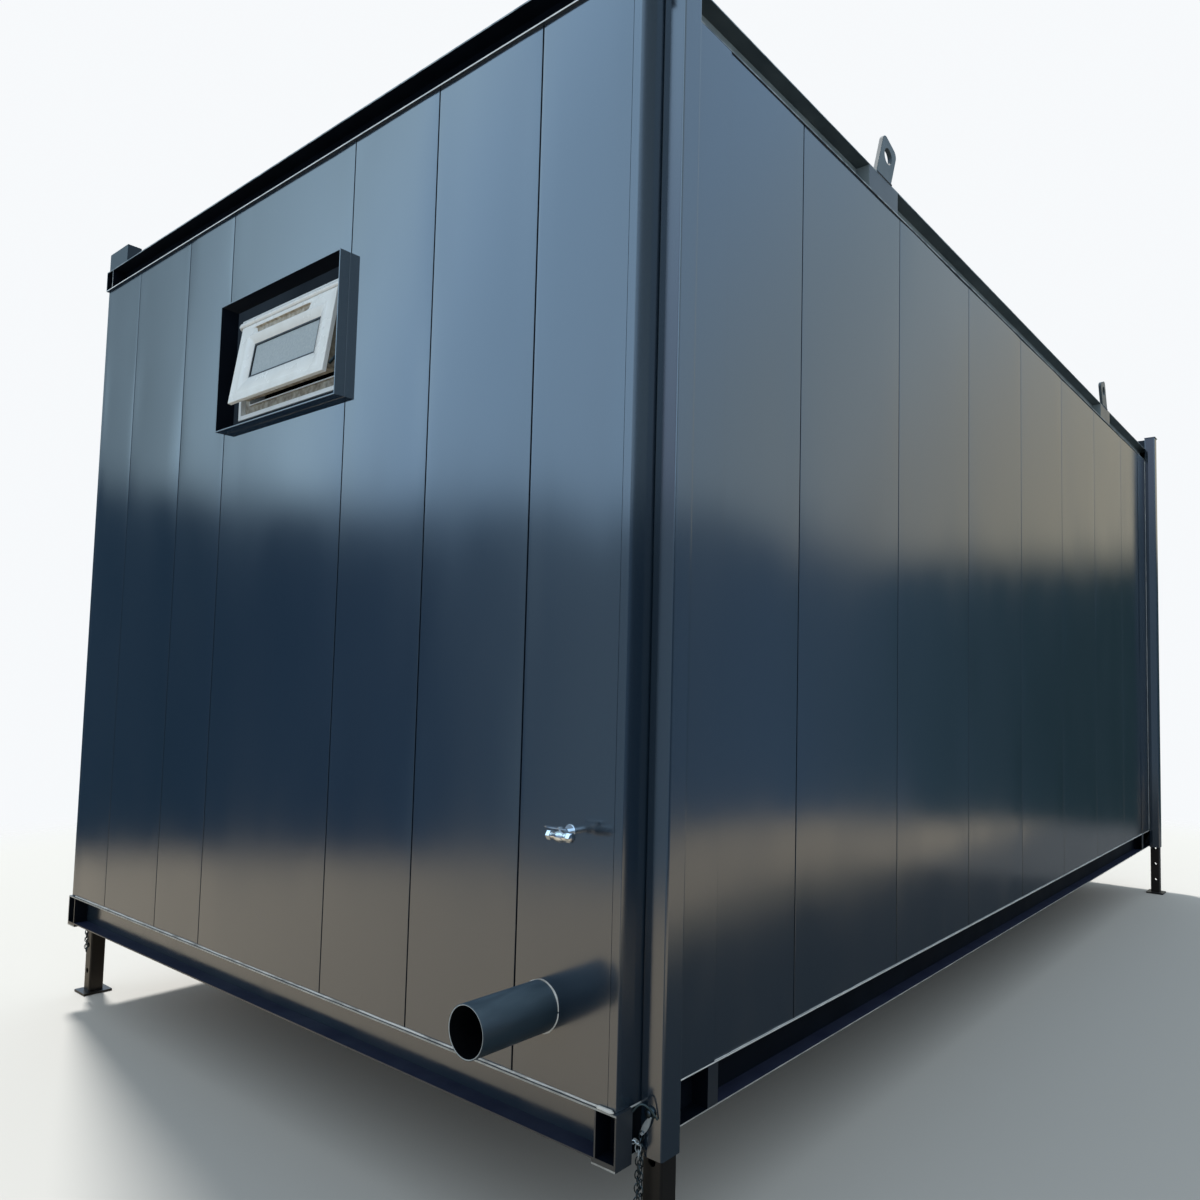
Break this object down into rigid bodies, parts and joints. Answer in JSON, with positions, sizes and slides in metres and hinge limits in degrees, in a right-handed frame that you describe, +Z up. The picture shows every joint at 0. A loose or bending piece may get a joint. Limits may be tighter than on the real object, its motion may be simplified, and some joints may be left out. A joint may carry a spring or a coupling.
{
  "type": "portable site cabin",
  "caption": "Anthracite steel site cabin with flat seamed cladding, a small window, lifting lugs and sliding square corner legs with locking pins.",
  "frame": {"origin": "on the ground under the centre of the overall box", "axes": "+X along the cabin from the front end with the window, +Y towards the left side with the door, +Z up"},
  "size_m": [5.513, 3.042, 3.0711],
  "materials": {
    "frame_steel": "satin",
    "panel_steel": "semi-gloss",
    "door_steel": "semi-gloss",
    "door_metal": "satin",
    "bright_zinc": "bright",
    "white_plastic": "gloss",
    "obscure_glass": "obscure",
    "pipe_plastic": "satin",
    "valve_metal": "polished",
    "floor_board": "matte"
  },
  "bodies": {
    "cabin": {"door_frame": "door_steel", "door_handle": "door_metal", "door_hinges": "door_metal", "door_leaf": "door_steel", "floor_deck": "floor_board", "floor_joists": "frame_steel", "front_base_rail": "frame_steel", "front_end_wall": "panel_steel", "front_left_post": "frame_steel", "front_left_stacking_block": "frame_steel", "front_left_trim": "panel_steel", "front_right_post": "frame_steel", "front_right_stacking_block": "frame_steel", "front_right_trim": "panel_steel", "front_top_rail": "frame_steel", "inlet_valve": "valve_metal", "left_base_rail": "frame_steel", "left_lifting_lugs": "frame_steel", "left_side_wall": "panel_steel", "left_top_rail": "frame_steel", "locking_pins": "bright_zinc", "rear_base_rail": "frame_steel", "rear_end_wall": "panel_steel", "rear_left_post": "frame_steel", "rear_left_stacking_block": "frame_steel", "rear_left_trim": "panel_steel", "rear_right_post": "frame_steel", "rear_right_stacking_block": "frame_steel", "rear_right_trim": "panel_steel", "rear_top_rail": "frame_steel", "right_base_rail": "frame_steel", "right_lifting_lugs": "frame_steel", "right_side_wall": "panel_steel", "right_top_rail": "frame_steel", "roof_deck": "panel_steel", "waste_pipe": "pipe_plastic", "window_frame": "white_plastic", "window_glass": "obscure_glass", "window_sash": "white_plastic", "window_surround": "panel_steel"},
    "front_right_leg": {"front_right_leg": "frame_steel"},
    "front_left_leg": {"front_left_leg": "frame_steel"},
    "rear_right_leg": {"rear_right_leg": "frame_steel"},
    "rear_left_leg": {"rear_left_leg": "frame_steel"}
  },
  "joints": [
    {"name": "front_right_leg_slide", "type": "slide", "parent": "cabin", "child": "front_right_leg", "axis": [0, 0, -1], "range_m": [0, 0.5]},
    {"name": "front_left_leg_slide", "type": "slide", "parent": "cabin", "child": "front_left_leg", "axis": [0, 0, -1], "range_m": [0, 0.5]},
    {"name": "rear_right_leg_slide", "type": "slide", "parent": "cabin", "child": "rear_right_leg", "axis": [0, 0, -1], "range_m": [0, 0.5]},
    {"name": "rear_left_leg_slide", "type": "slide", "parent": "cabin", "child": "rear_left_leg", "axis": [0, 0, -1], "range_m": [0, 0.5]}
  ]
}
